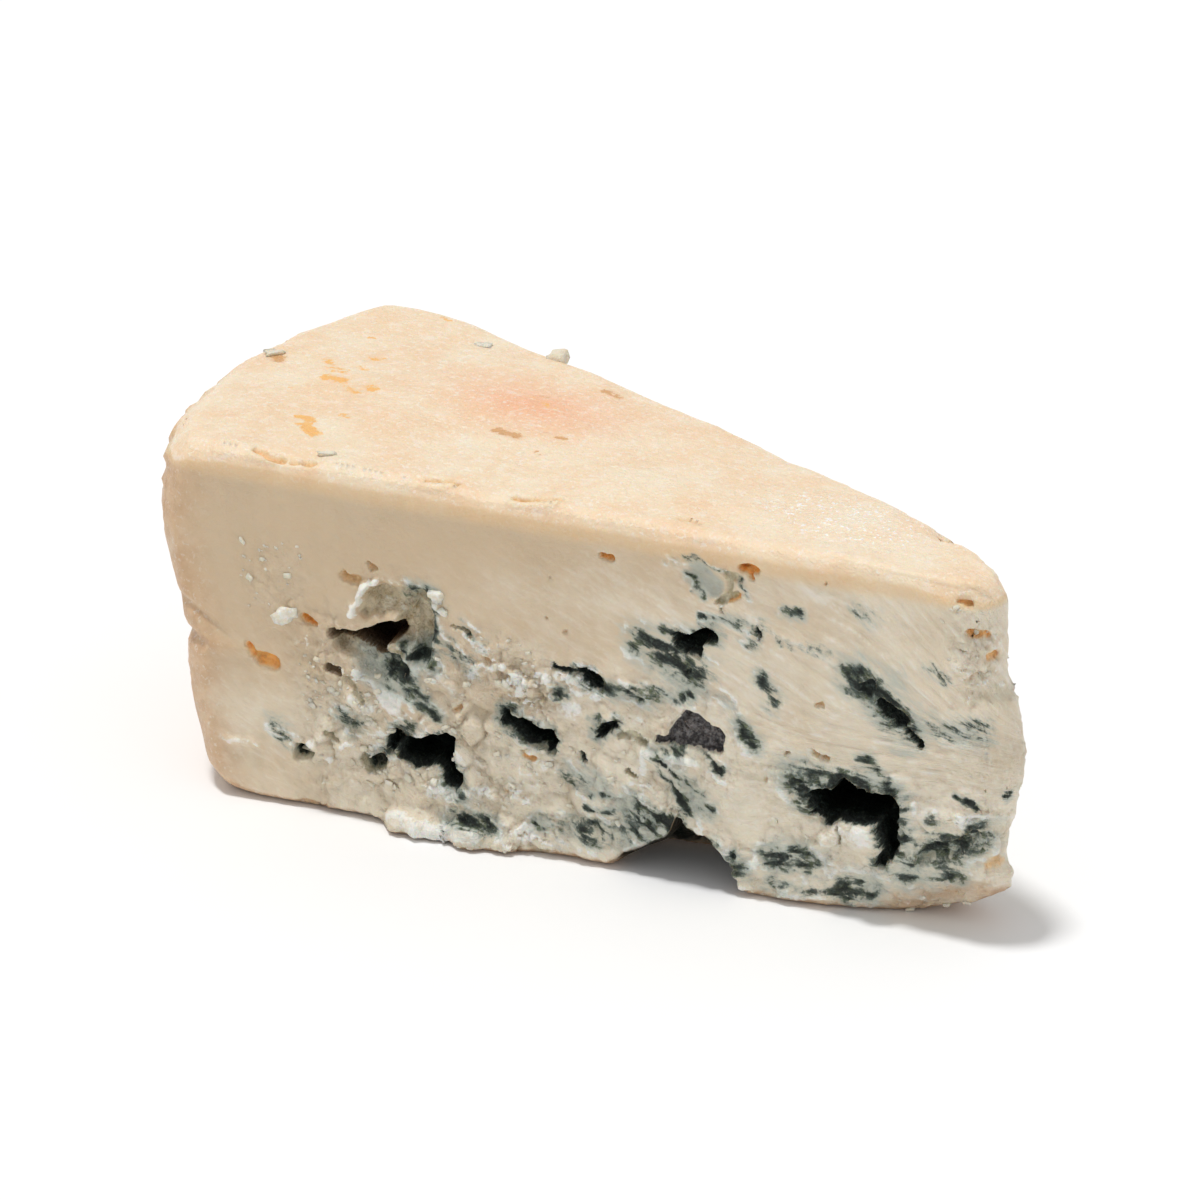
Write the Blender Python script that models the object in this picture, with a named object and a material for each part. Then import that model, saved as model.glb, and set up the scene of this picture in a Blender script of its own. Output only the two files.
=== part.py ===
"""A wedge of blue cheese: rind on top, heel and base, two cut faces and a blunt nose.

The wedge points along +X from its heel to its nose and stands on z = 0, in metres.
Its surface is one block, stretched over the wedge's form. Pockets are cut from its faces.
"""

import math
import random

import bmesh
import bpy
from mathutils import Matrix, Vector, noise

MM = 0.001

# Driving dimensions of the wedge, seen from above
HEIGHT = 59 * MM
FRONT_LENGTH = 134 * MM
CUT_ANGLE = math.radians(12)
FRONT_HEEL = Vector((-59.74, -35.34)) * MM
BACK_HEEL = Vector((-71.24, 34.86)) * MM
NOSE_WIDTH = 10.5 * MM
HEEL_BOW = 9.3 * MM
NOSE_BOW = 1.5 * MM
BACK_BOW = 4.6 * MM

# Form of the faces
HEEL_BULGE = 3.4 * MM
HEEL_UNDERCUT = 6.0 * MM
HEEL_CREASE = 2.4 * MM
HEEL_REACH = 16 * MM
CREASE_HEIGHT = 0.437
NOSE_BULGE = 3.8 * MM
NOSE_REACH = 20 * MM
NOSE_UNDERCUT = 8.0 * MM
NOSE_LIFT = 4.0 * MM
NOSE_DROOP = 1.2 * MM
TOP_CROWN = 1.2 * MM
FOOT_LIP = 1.3 * MM
WAVINESS = 0.45 * MM
WAVE_LENGTH = 14 * MM

# Where the block is sliced, as shares of its length, width and height
LENGTH_CUTS = (0.03, 0.07, 0.12, 0.22, 0.34, 0.46, 0.58, 0.70, 0.80, 0.88, 0.94, 0.98)
WIDTH_CUTS = (0.045, 0.2, 0.5, 0.8, 0.965)
HEIGHT_CUTS = (0.035, 0.12, 0.25, 0.39, 0.437, 0.49, 0.62, 0.80, 0.94, 0.975)

# Pockets in the front cut: along it from the heel, height above the base, width, height,
# depth, all in millimetres, and the turn in degrees
FRONT_POCKETS = {
    "slot": (34.5, 31.5, 16, 7, 11, 4),
    "slot_throat": (39.5, 34.0, 7, 8, 10, 30),
    "column": (43.5, 36.0, 7, 15, 6, 4),
    "shelf": (34.0, 41.0, 11, 6, 3.5, 12),
    "heart": (14.2, 25.2, 4.5, 5, 3, 30),
    "under_slot": (28.0, 25.6, 3.6, 2.2, 3, -15),
    "left_hole": (22.0, 10.6, 5.5, 5, 4, 20),
    "olive_hole": (34.3, 10.2, 4.2, 4, 4, 0),
    "low_cave": (43.0, 12.8, 11, 9, 8, -25),
    "low_cave_end": (48.4, 10.3, 6.4, 5.2, 5, -38),
    "mid_cave": (61.0, 21.4, 10.5, 5.5, 7, -24),
    "upper_nick": (70.5, 32.2, 6, 4, 4, -35),
    "ridge_cave": (90.5, 42.6, 9, 4.4, 6, 0),
    "ridge_tail": (84.0, 41.6, 7, 2.6, 3, 6),
    "grey_hollow": (89.5, 27.0, 12.5, 9.5, 4.5, -12),
    "brown_pit": (98.4, 53.8, 4.2, 3.4, 3.5, -20),
    "grey_lens": (92.5, 51.0, 7, 4.5, 2, -30),
    "black_cave": (114.8, 18.9, 13, 6.5, 12, 6),
    "black_leg": (121.3, 13.5, 5.5, 13, 7, 5),
    "streak": (120.6, 37.4, 4.5, 9, 2.5, 38),
    "diagonal": (88.6, 18.0, 3.4, 9, 2.5, 48),
    "green_hollow": (134.0, 15.5, 9, 3.6, 2.5, 24),
    "orange_nick": (74.7, 53.9, 3, 1.6, 2, -20),
}

# The torn arch under the front cut, open to the base
ARCH = (86.4, 0.5, 19, 24, 13, 0)

# Pockets in the back cut, placed by a seeded rule: shares of its length and height
BACK_POCKET_COUNT = 9
BACK_SHARES = (0.14, 0.88)
BACK_HEIGHT_SHARES = (0.2, 0.8)
BACK_POCKET_WIDTH = (5, 13)
BACK_POCKET_SPACING = 15
SEED = 7

POCKET_ROUGHNESS = 0.16
LARGE_POCKET = 11.5
LARGE_ROUNDS = 3
SMALL_ROUNDS = 2
POCKET_INSET = 0.25

CHEESE_COLOUR = (0.82, 0.72, 0.55, 1)


def mix(low, high, share):
    return low + (high - low) * share


def bump(value, centre, width):
    """A smooth hump of height 1."""
    return math.exp(-(((value - centre) / width) ** 2))


def ramp(value, start, end):
    """Rises smoothly from 0 at start to 1 at end."""
    share = min(max((value - start) / (end - start), 0), 1)
    return share * share * (3 - 2 * share)


def clear_scene():
    for item in list(bpy.data.objects):
        bpy.data.objects.remove(item)


def cut_direction():
    """The unit vector along the front cut, from the heel to the nose."""
    return Vector((math.cos(CUT_ANGLE), math.sin(CUT_ANGLE)))


def nose_corners():
    front = FRONT_HEEL + cut_direction() * FRONT_LENGTH
    return front, front + Vector((0.1, 1)).normalized() * NOSE_WIDTH


def heel_profile(height):
    """How far the heel stands out, by height share: a bulge above, a crease, and an undercut."""
    bulge = HEEL_BULGE * bump(height, 0.74, 0.20) + 1.0 * MM * bump(height, 0.25, 0.12)
    crease = HEEL_CREASE * bump(height, CREASE_HEIGHT, 0.028)
    return bulge - crease - HEEL_UNDERCUT * (1 - height) ** 2


def nose_profile(height):
    """How far the nose stands out: a broad bulge, a slight waist above it and a lip at the foot."""
    waist = 1.0 * MM * bump(height, 0.72, 0.06)
    lip = 1.6 * MM * bump(height, 0.09, 0.06)
    return NOSE_BULGE * bump(height, 0.46, 0.27) - waist + lip


def wedge_point(length, width, height):
    """Places a point of the unit block on the wedge. Each argument is a share from 0 to 1."""
    nose_front, nose_back = nose_corners()
    bow = 4 * width * (1 - width)
    heel = FRONT_HEEL.lerp(BACK_HEEL, width) - Vector((HEEL_BOW * bow, 0))
    nose = nose_front.lerp(nose_back, width) + Vector((NOSE_BOW * bow, 0))
    spot = heel.lerp(nose, length)
    from_heel = length * FRONT_LENGTH
    from_nose = (1 - length) * FRONT_LENGTH

    spot.x -= heel_profile(height) * math.exp(-((from_heel / HEEL_REACH) ** 2))
    spot.x += nose_profile(height) * math.exp(-((from_nose / NOSE_REACH) ** 2))
    spot.y += BACK_BOW * width**2 * (4 * length * (1 - length)) ** 0.7

    outward = Vector((cut_direction().y, -cut_direction().x))
    low = (1 - min(height / 0.30, 1)) ** 2
    spot -= outward * NOSE_UNDERCUT * low * ramp(length, 0.76, 1) * (1 - width) ** 2
    lip = ramp(length, 0.26, 0.31) * (1 - ramp(length, 0.52, 0.60)) * bump(height, 0.03, 0.06)
    spot += outward * FOOT_LIP * lip * (1 - width) ** 4

    crown = TOP_CROWN * bow * math.sin(math.pi * min(length * 1.1, 1))
    top = HEIGHT + crown - NOSE_DROOP * ramp(length, 0.90, 1)
    base = NOSE_LIFT * ramp(length, 0.86, 1) ** 2
    return Vector((spot.x, spot.y, mix(base, top, height)))


def sliced_block():
    """A unit block, sliced at the listed shares along each axis."""
    block = bmesh.new()
    bmesh.ops.create_cube(block, size=1)
    bmesh.ops.translate(block, vec=(0.5, 0.5, 0.5), verts=block.verts)
    for axis, cuts in enumerate((LENGTH_CUTS, WIDTH_CUTS, HEIGHT_CUTS)):
        normal = Vector((0, 0, 0))
        normal[axis] = 1
        for share in cuts:
            whole = block.verts[:] + block.edges[:] + block.faces[:]
            bmesh.ops.bisect_plane(block, geom=whole, plane_co=normal * share, plane_no=normal)
    return block


def add_waves(mesh):
    """Makes the rind and the cuts uneven, apart from the flat base."""
    normals = [vertex.normal.copy() for vertex in mesh.vertices]
    for vertex, normal in zip(mesh.vertices, normals):
        clear_of_base = ramp(vertex.co.z, 0.5 * MM, 6 * MM)
        wave = noise.noise(vertex.co / WAVE_LENGTH) + 0.4 * noise.noise(vertex.co / WAVE_LENGTH * 2.7)
        vertex.co += normal * wave * WAVINESS * clear_of_base


def add_wedge(material):
    block = sliced_block()
    for vertex in block.verts:
        vertex.co = wedge_point(*vertex.co)
    bmesh.ops.recalc_face_normals(block, faces=block.faces)
    cage_mesh = bpy.data.meshes.new("wedge_cage")
    block.to_mesh(cage_mesh)
    block.free()
    cage = bpy.data.objects.new("wedge_cage", cage_mesh)
    bpy.context.scene.collection.objects.link(cage)
    rounding = cage.modifiers.new("rounding", "SUBSURF")
    rounding.levels = 1
    rounding.render_levels = 1
    graph = bpy.context.evaluated_depsgraph_get()
    mesh = bpy.data.meshes.new_from_object(cage.evaluated_get(graph))
    bpy.data.objects.remove(cage)
    add_waves(mesh)
    mesh.name = "blue_cheese_wedge"
    mesh.materials.append(material)
    mesh.shade_smooth()
    mesh.set_sharp_from_angle(angle=math.radians(40))
    wedge = bpy.data.objects.new("blue_cheese_wedge", mesh)
    bpy.context.scene.collection.objects.link(wedge)
    return wedge


def front_frame():
    """Axes of the front cut: along it, out of it and up, with the heel's foot as origin."""
    along = cut_direction()
    frame = Matrix(((along.x, -along.y, 0), (along.y, along.x, 0), (0, 0, 1))).to_4x4()
    return Matrix.Translation(FRONT_HEEL.to_3d()) @ frame


def back_frame(length, height):
    """The same axes at a place on the back cut, by its shares of length and height."""
    spot = wedge_point(length, 1, height)
    along = (wedge_point(length + 0.03, 1, height) - wedge_point(length - 0.03, 1, height)).normalized()
    frame = Matrix(((along.x, along.y, 0), (along.y, -along.x, 0), (0, 0, 1))).to_4x4()
    return Matrix.Translation(spot) @ frame


def add_pocket(cutters, name, frame, sizes):
    """A lumpy ball, whose inner part is the pocket. Local X runs along the cut and Y into it."""
    along, up, width, height, depth, turn = sizes
    large = max(width, height) > LARGE_POCKET
    ball = bmesh.new()
    bmesh.ops.create_icosphere(ball, subdivisions=LARGE_ROUNDS if large else SMALL_ROUNDS, radius=1)
    offset = Vector((along, up, depth))
    for vertex in ball.verts:
        lumps = noise.noise(vertex.co * 1.6 + offset) + 0.5 * noise.noise(vertex.co * 3.4 + offset)
        vertex.co *= 1 + POCKET_ROUGHNESS * lumps
    size = Matrix.Diagonal((width / 2 * MM, depth * MM, height / 2 * MM, 1))
    turned = Matrix.Rotation(-math.radians(turn), 4, "Y")
    place = Matrix.Translation((along * MM, POCKET_INSET * depth * MM, up * MM))
    bmesh.ops.transform(ball, matrix=frame @ place @ turned @ size, verts=ball.verts)
    bmesh.ops.recalc_face_normals(ball, faces=ball.faces)
    mesh = bpy.data.meshes.new(name)
    ball.to_mesh(mesh)
    ball.free()
    cutter = bpy.data.objects.new(name, mesh)
    cutter.hide_render = True
    cutter.display_type = "WIRE"
    cutters.objects.link(cutter)


def back_pockets():
    """Places and sizes for the back cut's pockets, kept apart from each other."""
    draw = random.Random(SEED)
    made = []
    while len(made) < BACK_POCKET_COUNT:
        length = draw.uniform(*BACK_SHARES)
        height = draw.uniform(*BACK_HEIGHT_SHARES)
        spot = Vector((length * FRONT_LENGTH, height * HEIGHT))
        if any((spot - other[0]).length < BACK_POCKET_SPACING * MM for other in made):
            continue
        width = draw.uniform(*BACK_POCKET_WIDTH)
        sizes = (0, 0, width, width * draw.uniform(0.4, 0.7), width * 0.45, draw.uniform(-35, 35))
        made.append((spot, back_frame(length, height), sizes))
    return made


def add_pockets(wedge):
    cutters = bpy.data.collections.new("pocket_cutters")
    cutters.hide_render = True
    bpy.context.scene.collection.children.link(cutters)
    for name, sizes in FRONT_POCKETS.items():
        add_pocket(cutters, name, front_frame(), sizes)
    add_pocket(cutters, "arch", front_frame(), ARCH)
    for number, (_, frame, sizes) in enumerate(back_pockets()):
        add_pocket(cutters, f"back_pocket_{number}", frame, sizes)
    cut = wedge.modifiers.new("pockets", "BOOLEAN")
    cut.operation = "DIFFERENCE"
    cut.solver = "EXACT"
    cut.operand_type = "COLLECTION"
    cut.collection = cutters


def cheese_material():
    material = bpy.data.materials.new("blue_cheese")
    material.use_nodes = True
    shader = material.node_tree.nodes["Principled BSDF"]
    shader.inputs["Base Color"].default_value = CHEESE_COLOUR
    shader.inputs["Roughness"].default_value = 0.5
    shader.inputs["Metallic"].default_value = 0
    return material


def main():
    clear_scene()
    wedge = add_wedge(cheese_material())
    add_pockets(wedge)


main()
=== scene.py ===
"""The looks of a wedge of blue cheese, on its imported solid.

The paste is torn open by moulded pockets, and the rind on top is moist and peach-coloured.
Every length in this file is in millimetres, up to the step that writes a mesh.
"""

import collections
import itertools
import math
import random

import bmesh
import bpy
import mathutils
import numpy as np
from mathutils import Matrix, Vector


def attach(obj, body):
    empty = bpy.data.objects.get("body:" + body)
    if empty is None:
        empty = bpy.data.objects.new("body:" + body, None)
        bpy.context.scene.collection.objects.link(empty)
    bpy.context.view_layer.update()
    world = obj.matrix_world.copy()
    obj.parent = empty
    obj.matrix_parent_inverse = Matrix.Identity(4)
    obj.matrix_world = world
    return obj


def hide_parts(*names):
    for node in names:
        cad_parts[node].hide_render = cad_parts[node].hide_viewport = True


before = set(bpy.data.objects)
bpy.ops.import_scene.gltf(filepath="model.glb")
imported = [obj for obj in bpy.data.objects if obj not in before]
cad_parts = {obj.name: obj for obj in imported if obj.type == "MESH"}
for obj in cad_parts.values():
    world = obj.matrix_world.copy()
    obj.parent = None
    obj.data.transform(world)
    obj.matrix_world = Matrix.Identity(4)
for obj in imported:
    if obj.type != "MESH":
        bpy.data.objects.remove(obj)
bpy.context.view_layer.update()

MM = 0.001

# Driving dimensions, as the solid has them
HEIGHT = 59
FRONT_LENGTH = 134
CUT_ANGLE = math.radians(12)
FRONT_HEEL = np.array((-59.74, -35.34))
BACK_HEEL = np.array((-71.24, 34.86))
NOSE_WIDTH = 10.5
HEEL_BOW = 9.3
NOSE_BOW = 1.5
BACK_BOW = 4.6
HEEL_BULGE = 3.4
HEEL_UNDERCUT = 6.0
HEEL_CREASE = 2.4
HEEL_REACH = 16
CREASE_HEIGHT = 0.437
NOSE_BULGE = 3.8
NOSE_REACH = 20
NOSE_UNDERCUT = 8.0
NOSE_LIFT = 4.0
NOSE_DROOP = 1.2
TOP_CROWN = 1.2
WAVINESS = 0.4
HEEL_WIDTH = 71

# The radius of the block's edges, and what the top, heel, nose and foot add to it
EDGE_RADIUS = 1.1
TOP_ROUNDING, HEEL_ROUNDING, NOSE_ROUNDING, FOOT_ROUNDING = 1.1, 3.4, 2.6, 1.3

# The unit vectors along the front cut and out of it
ALONG = np.array((math.cos(CUT_ANGLE), math.sin(CUT_ANGLE)))
OUTWARD = np.array((math.sin(CUT_ANGLE), -math.cos(CUT_ANGLE)))

# How many strips the block has along its length, width and height
STRIPS = (140, 34, 60)
REFINING_ROUNDS = 2
LONGEST_EDGE = 1.15
SHARPEST_FOLD = math.radians(24)
SHORTEST_SPLIT = 0.34
HIDDEN_COARSENESS = 2.2

# How far a point inside the front cut seems to move along and up it, per millimetre of its depth
VIEW_DRIFT = (0.45, 0.49)
# Relief deeper than this is a pocket, and runs straight into its cut
SKIN = 0.6
INTO_BACK_CUT = (-0.19, -0.98, 0)

# Torn pockets in the front cut. Each runs from one place to another, given along the cut and up,
# and has a half width and a depth.
BROWN_POCKETS = (
    (28, 31.3, 33.5, 31.5, 1, 7), (33.5, 31.6, 38, 33.9, 1.7, 11), (34.3, 30.9, 36.6, 30.8, 1.5, 9),
    (26.9, 25.3, 28.9, 25.1, 0.6, 2.2),
)
DARK_POCKETS = (
    (37.4, 14.5, 39.1, 15.8, 1.3, 4), (41.5, 13.7, 47, 15.2, 2.1, 8), (47.3, 14.5, 48.3, 11.2, 1.7, 6),
    (57.5, 22.9, 60.3, 22.2, 1.2, 4), (60.8, 21.4, 64.3, 20.3, 1.8, 6.5),
    (70.9, 32.2, 72.9, 31.2, 1.2, 3.5), (66.5, 33.3, 70, 32.4, 0.5, 1), (74.2, 23.4, 75.9, 24.5, 1, 2.5),
    (70.7, 19.2, 71, 18, 0.7, 1.5), (87.3, 41.8, 93, 43, 1.3, 5.5), (88.5, 40.8, 89.5, 40.6, 1.3, 3.5),
    (100.8, 45.8, 100.8, 44.6, 0.4, 1), (118.2, 40.3, 118.3, 39.9, 1.2, 1),
    (120.4, 36.8, 123.3, 34.8, 1.2, 2.4), (124.2, 33.2, 126.4, 31.9, 0.6, 1.4),
    (111.2, 18.4, 119.7, 19.8, 2.1, 11), (114.9, 20.6, 115.2, 21, 1.6, 9),
    (121.4, 20.6, 122, 13.4, 1.6, 4.5), (120.9, 11.8, 120.7, 10.8, 0.9, 2.4),
)
GREY_POCKETS = (
    (42.9, 39.2, 43.1, 31, 2.2, 3.6), (39.6, 31.2, 40.8, 36, 1.7, 3), (36, 38.9, 40, 39.2, 2.3, 2.2),
    (33.3, 37, 36.5, 38.4, 1.2, 1.6), (29.3, 29.5, 38.5, 28.8, 1.5, 2), (33.5, 27.5, 40, 27.5, 1.4, 1.4),
)
OLIVE_POCKETS = (
    (21.8, 9.6, 23.2, 10.2, 1.1, 3.4), (33.8, 10.6, 35.2, 11, 1.5, 3.6),
    (48.9, 36.1, 51.5, 35.6, 0.4, 1.4), (63.4, 18.6, 65.1, 18.7, 0.8, 3), (79, 17.9, 80.3, 17.1, 0.5, 1.6),
    (94.9, 53.3, 97.2, 53.3, 0.9, 0.9), (95.6, 52.5, 95.6, 50.2, 0.9, 0.9), (94, 49.6, 97, 50, 0.7, 0.9),
    (94.9, 48.5, 95, 47.6, 0.35, 0.6), (113.7, 14.7, 114.1, 12, 0.2, 0.9),
    (127.5, 12.3, 136, 17.6, 1.2, 1.2), (77.5, 22.8, 81.8, 23.3, 0.7, 1),
    (134.8, 40.8, 141.2, 43.6, 1.6, 0.45), (26.8, 13.8, 28.6, 13, 0.5, 1), (29.8, 24.2, 33, 21, 0.6, 0.8),
)
AMBER_POCKETS = (
    (13.3, 26.3, 14.2, 24.6, 0.9, 1.1), (15.4, 24.2, 17, 24.3, 1.5, 1.4), (23, 33, 24.6, 32.4, 0.8, 2.2),
    (74.3, 53.2, 75.9, 53, 0.6, 1.3), (97.9, 55.4, 99.7, 55.6, 0.9, 1.8),
    (98.9, 54.6, 99.1, 53.9, 0.5, 1.2), (95.7, 49.4, 97.3, 50.2, 0.5, 1.2),
    (132.8, 55.8, 134.2, 55.8, 0.6, 0.8), (134.4, 51, 137.6, 51.6, 0.8, 0.9),
    (137.6, 47.7, 139, 48.8, 0.7, 0.8), (138.6, 13.2, 141.2, 14.7, 1.3, 0.6),
    (61, 16.8, 62.4, 16.7, 0.5, 0.8),
)
GOLDEN_POCKETS = (
    (30.4, 41.9, 32.8, 41.3, 0.9, 1.6), (33.9, 44.5, 34.6, 43.9, 0.5, 1), (37.1, 41.3, 37.6, 41, 0.5, 1),
    (49.6, 23, 50.3, 23.5, 0.6, 1.2), (57.4, 10.7, 58, 10.2, 0.5, 0.9), (54.5, 32.2, 55.4, 31.9, 0.5, 1),
    (65, 47.3, 65.6, 47.3, 0.3, 0.6), (64.4, 40.8, 64.5, 40.9, 0.3, 0.5),
    (67.5, 39.2, 68.1, 39.4, 0.3, 0.5), (110.3, 34.4, 111.4, 34.5, 0.5, 0.9),
    (110.4, 27.1, 112.2, 26.5, 0.7, 1.2), (105.2, 25.9, 105.8, 26.1, 0.4, 0.7),
    (101.6, 21.2, 101.8, 21.2, 0.4, 0.6), (111.1, 55.3, 111.4, 55.3, 0.3, 0.5),
    (134.4, 44.2, 135.7, 44.7, 0.5, 0.5), (88.5, 36.9, 89, 37, 0.3, 0.6),
    (60.2, 17.3, 60.9, 17.3, 0.4, 0.6),
)

# A smooth dent that a furry grey mould fills, and a smooth grey lens above it
FUR_PATCHES = (
    (87.4, 25.4, 89.1, 27.9, 2.2, 1.7), (89.3, 27.8, 92.7, 26, 2, 1.7), (84, 24.2, 88, 24.8, 0.8, 1.6),
    (87.5, 24.8, 93.2, 24.8, 1.3, 1.6), (89, 27, 91, 26, 2.2, 1.7),
)
LENS = (90.4, 53.0, 92.9, 51.4, 2.0, 0.8)

# Mould on the paste beside the pockets: start, end, half width and strength
MOULD_VEINS = (
    (80.6, 40.2, 86, 39.5, 1.5, 0.8), (84.6, 37.6, 89.8, 36.6, 1.7, 0.75), (82, 42.4, 88, 42.8, 0.9, 0.8),
    (74, 31, 75.6, 30.6, 0.9, 0.7), (66.8, 28.8, 68.5, 28.1, 0.7, 0.7), (75.6, 30.8, 80.6, 29.8, 0.8, 0.7),
    (80, 31.5, 85.5, 31.2, 1, 0.55), (102.6, 7.6, 110, 8.5, 1.3, 0.75), (113.6, 4.4, 118.8, 5.5, 1.5, 0.8),
    (103.3, 2.6, 110.4, 3.8, 1, 0.55), (69.5, 5.7, 77.3, 5.9, 1.4, 0.8), (80.7, 9.7, 85.4, 8.9, 2.2, 0.85),
    (84.4, 19.8, 89.1, 14.8, 1.5, 0.9), (89.8, 14.1, 92.5, 14.1, 0.8, 0.8),
    (67.8, 14.8, 73.2, 14.2, 1.4, 0.5), (72.9, 12.6, 75.3, 12.5, 0.4, 0.85),
    (72.2, 10, 75.3, 10.3, 0.4, 0.85), (62.9, 5.9, 65.3, 5.5, 0.7, 0.8), (48.5, 3.4, 55, 2.6, 1.2, 0.75),
    (17.2, 13.8, 19.6, 11.6, 1.2, 0.40), (36.7, 27.2, 39.6, 26.3, 1.9, 0.8),
    (41.8, 30.3, 44.9, 30.1, 1, 0.9), (40.9, 41.3, 45.2, 41, 0.8, 0.75), (41.3, 23.9, 43, 23.4, 0.9, 0.75),
    (44, 21.9, 45.3, 20.9, 1, 0.8), (29.9, 17.2, 31.6, 16.3, 1, 0.6), (35.5, 12.8, 37, 13.2, 0.8, 0.6),
    (97.7, 28.4, 99.5, 27, 0.9, 0.75), (100.6, 37, 103.2, 34, 0.9, 0.65),
    (118.4, 27.1, 120.1, 24.7, 0.8, 0.75), (104, 49.2, 107.3, 49.2, 0.6, 0.6),
    (116.1, 40.9, 121, 38.7, 1.7, 0.75), (119, 38.7, 124.3, 33.9, 1.7, 0.8),
    (114, 43, 120.5, 41.5, 0.6, 0.6), (130.3, 35, 136, 35.5, 1.5, 0.5),
    (128.1, 43.7, 130.5, 43.3, 0.9, 0.45), (116.4, 51.4, 118.6, 51, 1.2, 0.35),
    (107.3, 21.8, 109, 18.8, 1.8, 0.75), (109, 22, 121, 23, 1.6, 0.75),
    (122.8, 21, 123.6, 13.5, 1.3, 0.85), (129.3, 18.7, 131.9, 18.7, 1.1, 0.6),
    (133, 24.3, 135.9, 23.4, 0.3, 0.9), (141.2, 25.4, 142, 26.2, 0.3, 0.9), (38.5, 14, 41, 17.5, 1.1, 0.7),
    (47.5, 9.5, 50, 7.8, 0.9, 0.7), (91.5, 46, 98.5, 46.4, 0.5, 0.6), (99.5, 43.5, 101.2, 46, 1, 0.5),
    (93.5, 34, 96, 32, 0.7, 0.45), (104, 44.5, 112, 43.5, 0.7, 0.38),
    (127.5, 12.3, 136.8, 18.3, 1.9, 0.75), (124.8, 8.5, 133.8, 11, 1.2, 0.7),
    (46.6, 33.8, 51.8, 30.5, 1.2, 0.45), (51, 36.5, 53.5, 34.5, 1, 0.45), (93.2, 7.8, 98.1, 5, 1.2, 0.6),
    (88.3, 52.4, 91.2, 49.6, 0.35, 0.68), (90.2, 55.1, 94.6, 53.9, 0.3, 0.48),
    (86, 54.6, 89.5, 54.8, 0.7, 0.35), (97.6, 52.8, 99.1, 49.8, 0.35, 0.5), (83.2, 10.9, 87, 10.6, 0.8, 1),
    (94, 7.2, 96.2, 5.8, 0.5, 0.8), (96.6, 7.6, 96.8, 7, 0.4, 1), (45.3, 39.5, 45.5, 31, 0.5, 0.75),
    (39.5, 31.8, 39.9, 30.6, 0.3, 0.9), (84.2, 31.4, 88.5, 31.9, 0.7, 0.8),
    (85, 22.6, 92.5, 23, 0.8, 0.55), (92.8, 22, 94, 21.2, 0.8, 0.8),
)

# Pale lumps of curd that stand proud: start, end, half width and rise
CURD_LUMPS = (
    (30.9, 36.6, 34.6, 40.6, 0.8, 1.6), (34.4, 40.6, 35.6, 41.6, 0.9, 1.2), (8.5, 9.4, 13.5, 9, 0.8, 0.6),
    (38.9, 31.3, 39.8, 31, 1.6, 2.4), (38, 14.6, 39.6, 12.6, 1.3, 1.6), (43.2, 13.4, 45, 13, 1.3, 1.8),
    (52.8, 30.4, 57.9, 31, 0.9, 0.7), (60.3, 29.6, 61.3, 29.2, 1.7, 0.7),
    (67.5, 26.2, 70.5, 26.2, 2.2, 0.8), (44.6, 6.9, 55, 9, 1.9, 0.8), (82, 21.3, 90, 21.6, 1, 0.7),
    (112.4, 13.4, 118, 14.6, 2.2, 0.9), (77.3, 32.8, 82.3, 30.8, 1, 0.7), (39, 1.2, 51.5, 0.6, 1.8, 1.2),
    (31.5, 21, 34.5, 20.4, 1.8, 0.7), (36.5, 22.5, 39.5, 21, 1.8, 0.7), (24, 12, 26.5, 13, 1.3, 0.6),
    (45.8, 27.5, 48.5, 26, 1.4, 0.7),
)

# The torn hollow under the front cut: where it peaks along the cut, its reach to the left and right,
# its rise and its depth, and the notch at its peak: place, half width and rise
ARCH = (88, 13, 10, 8.3, 15)
ARCH_NOTCH = (86.9, 1.2, 3)

# The flattened foot that spreads over the floor: start and end along the cut, and how far it spreads
SPREAD_FOOT = (38, 62, 5)

# Loose flakes on the front cut: place, rough length, width and thickness, turn in degrees
FLAKES = (
    (20.2, 33.1, 2.9, 2.5, 1.6, 24), (45.9, 40.8, 2.4, 1.9, 1.3, 10), (47.6, 39, 1.4, 1, 0.7, -30),
)
# Flakes that lie on what faces up, seen from above, in the same order
RIND_FLAKES = (
    (-38.6, -27.6, 4.2, 2.2, 0.5, -20), (-36, -25.9, 2.4, 1.2, 0.6, 35), (-32.3, 30.6, 3, 2.6, 2.2, 15),
    (-45.1, 26, 2.4, 1.8, 0.4, 0), (-70.2, 3, 2.8, 1.6, 0.9, 60),
)
# Where small crumbs gather on the front cut: low corner, high corner and how many
CLUSTERS = (
    (12, 33, 24, 46, 26), (22, 18, 36, 27, 60), (30, 6, 60, 20, 120), (44, 24, 66, 36, 60),
    (60, 4, 86, 22, 50), (100, 3, 136, 16, 40), (130, 44, 138, 56, 16),
)
# How pale the flakes are, and the least and most for a crumb
FLAKE_PALENESS, RIND_FLAKE_PALENESS = 0.45, 0.25
CRUMB_PALENESS = (0.0, 0.35)
RIND_FLAKE_SEED = 900
# Crumbs keep off hollows and mould stronger than this
CRUMB_LIMIT = 0.2

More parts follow.
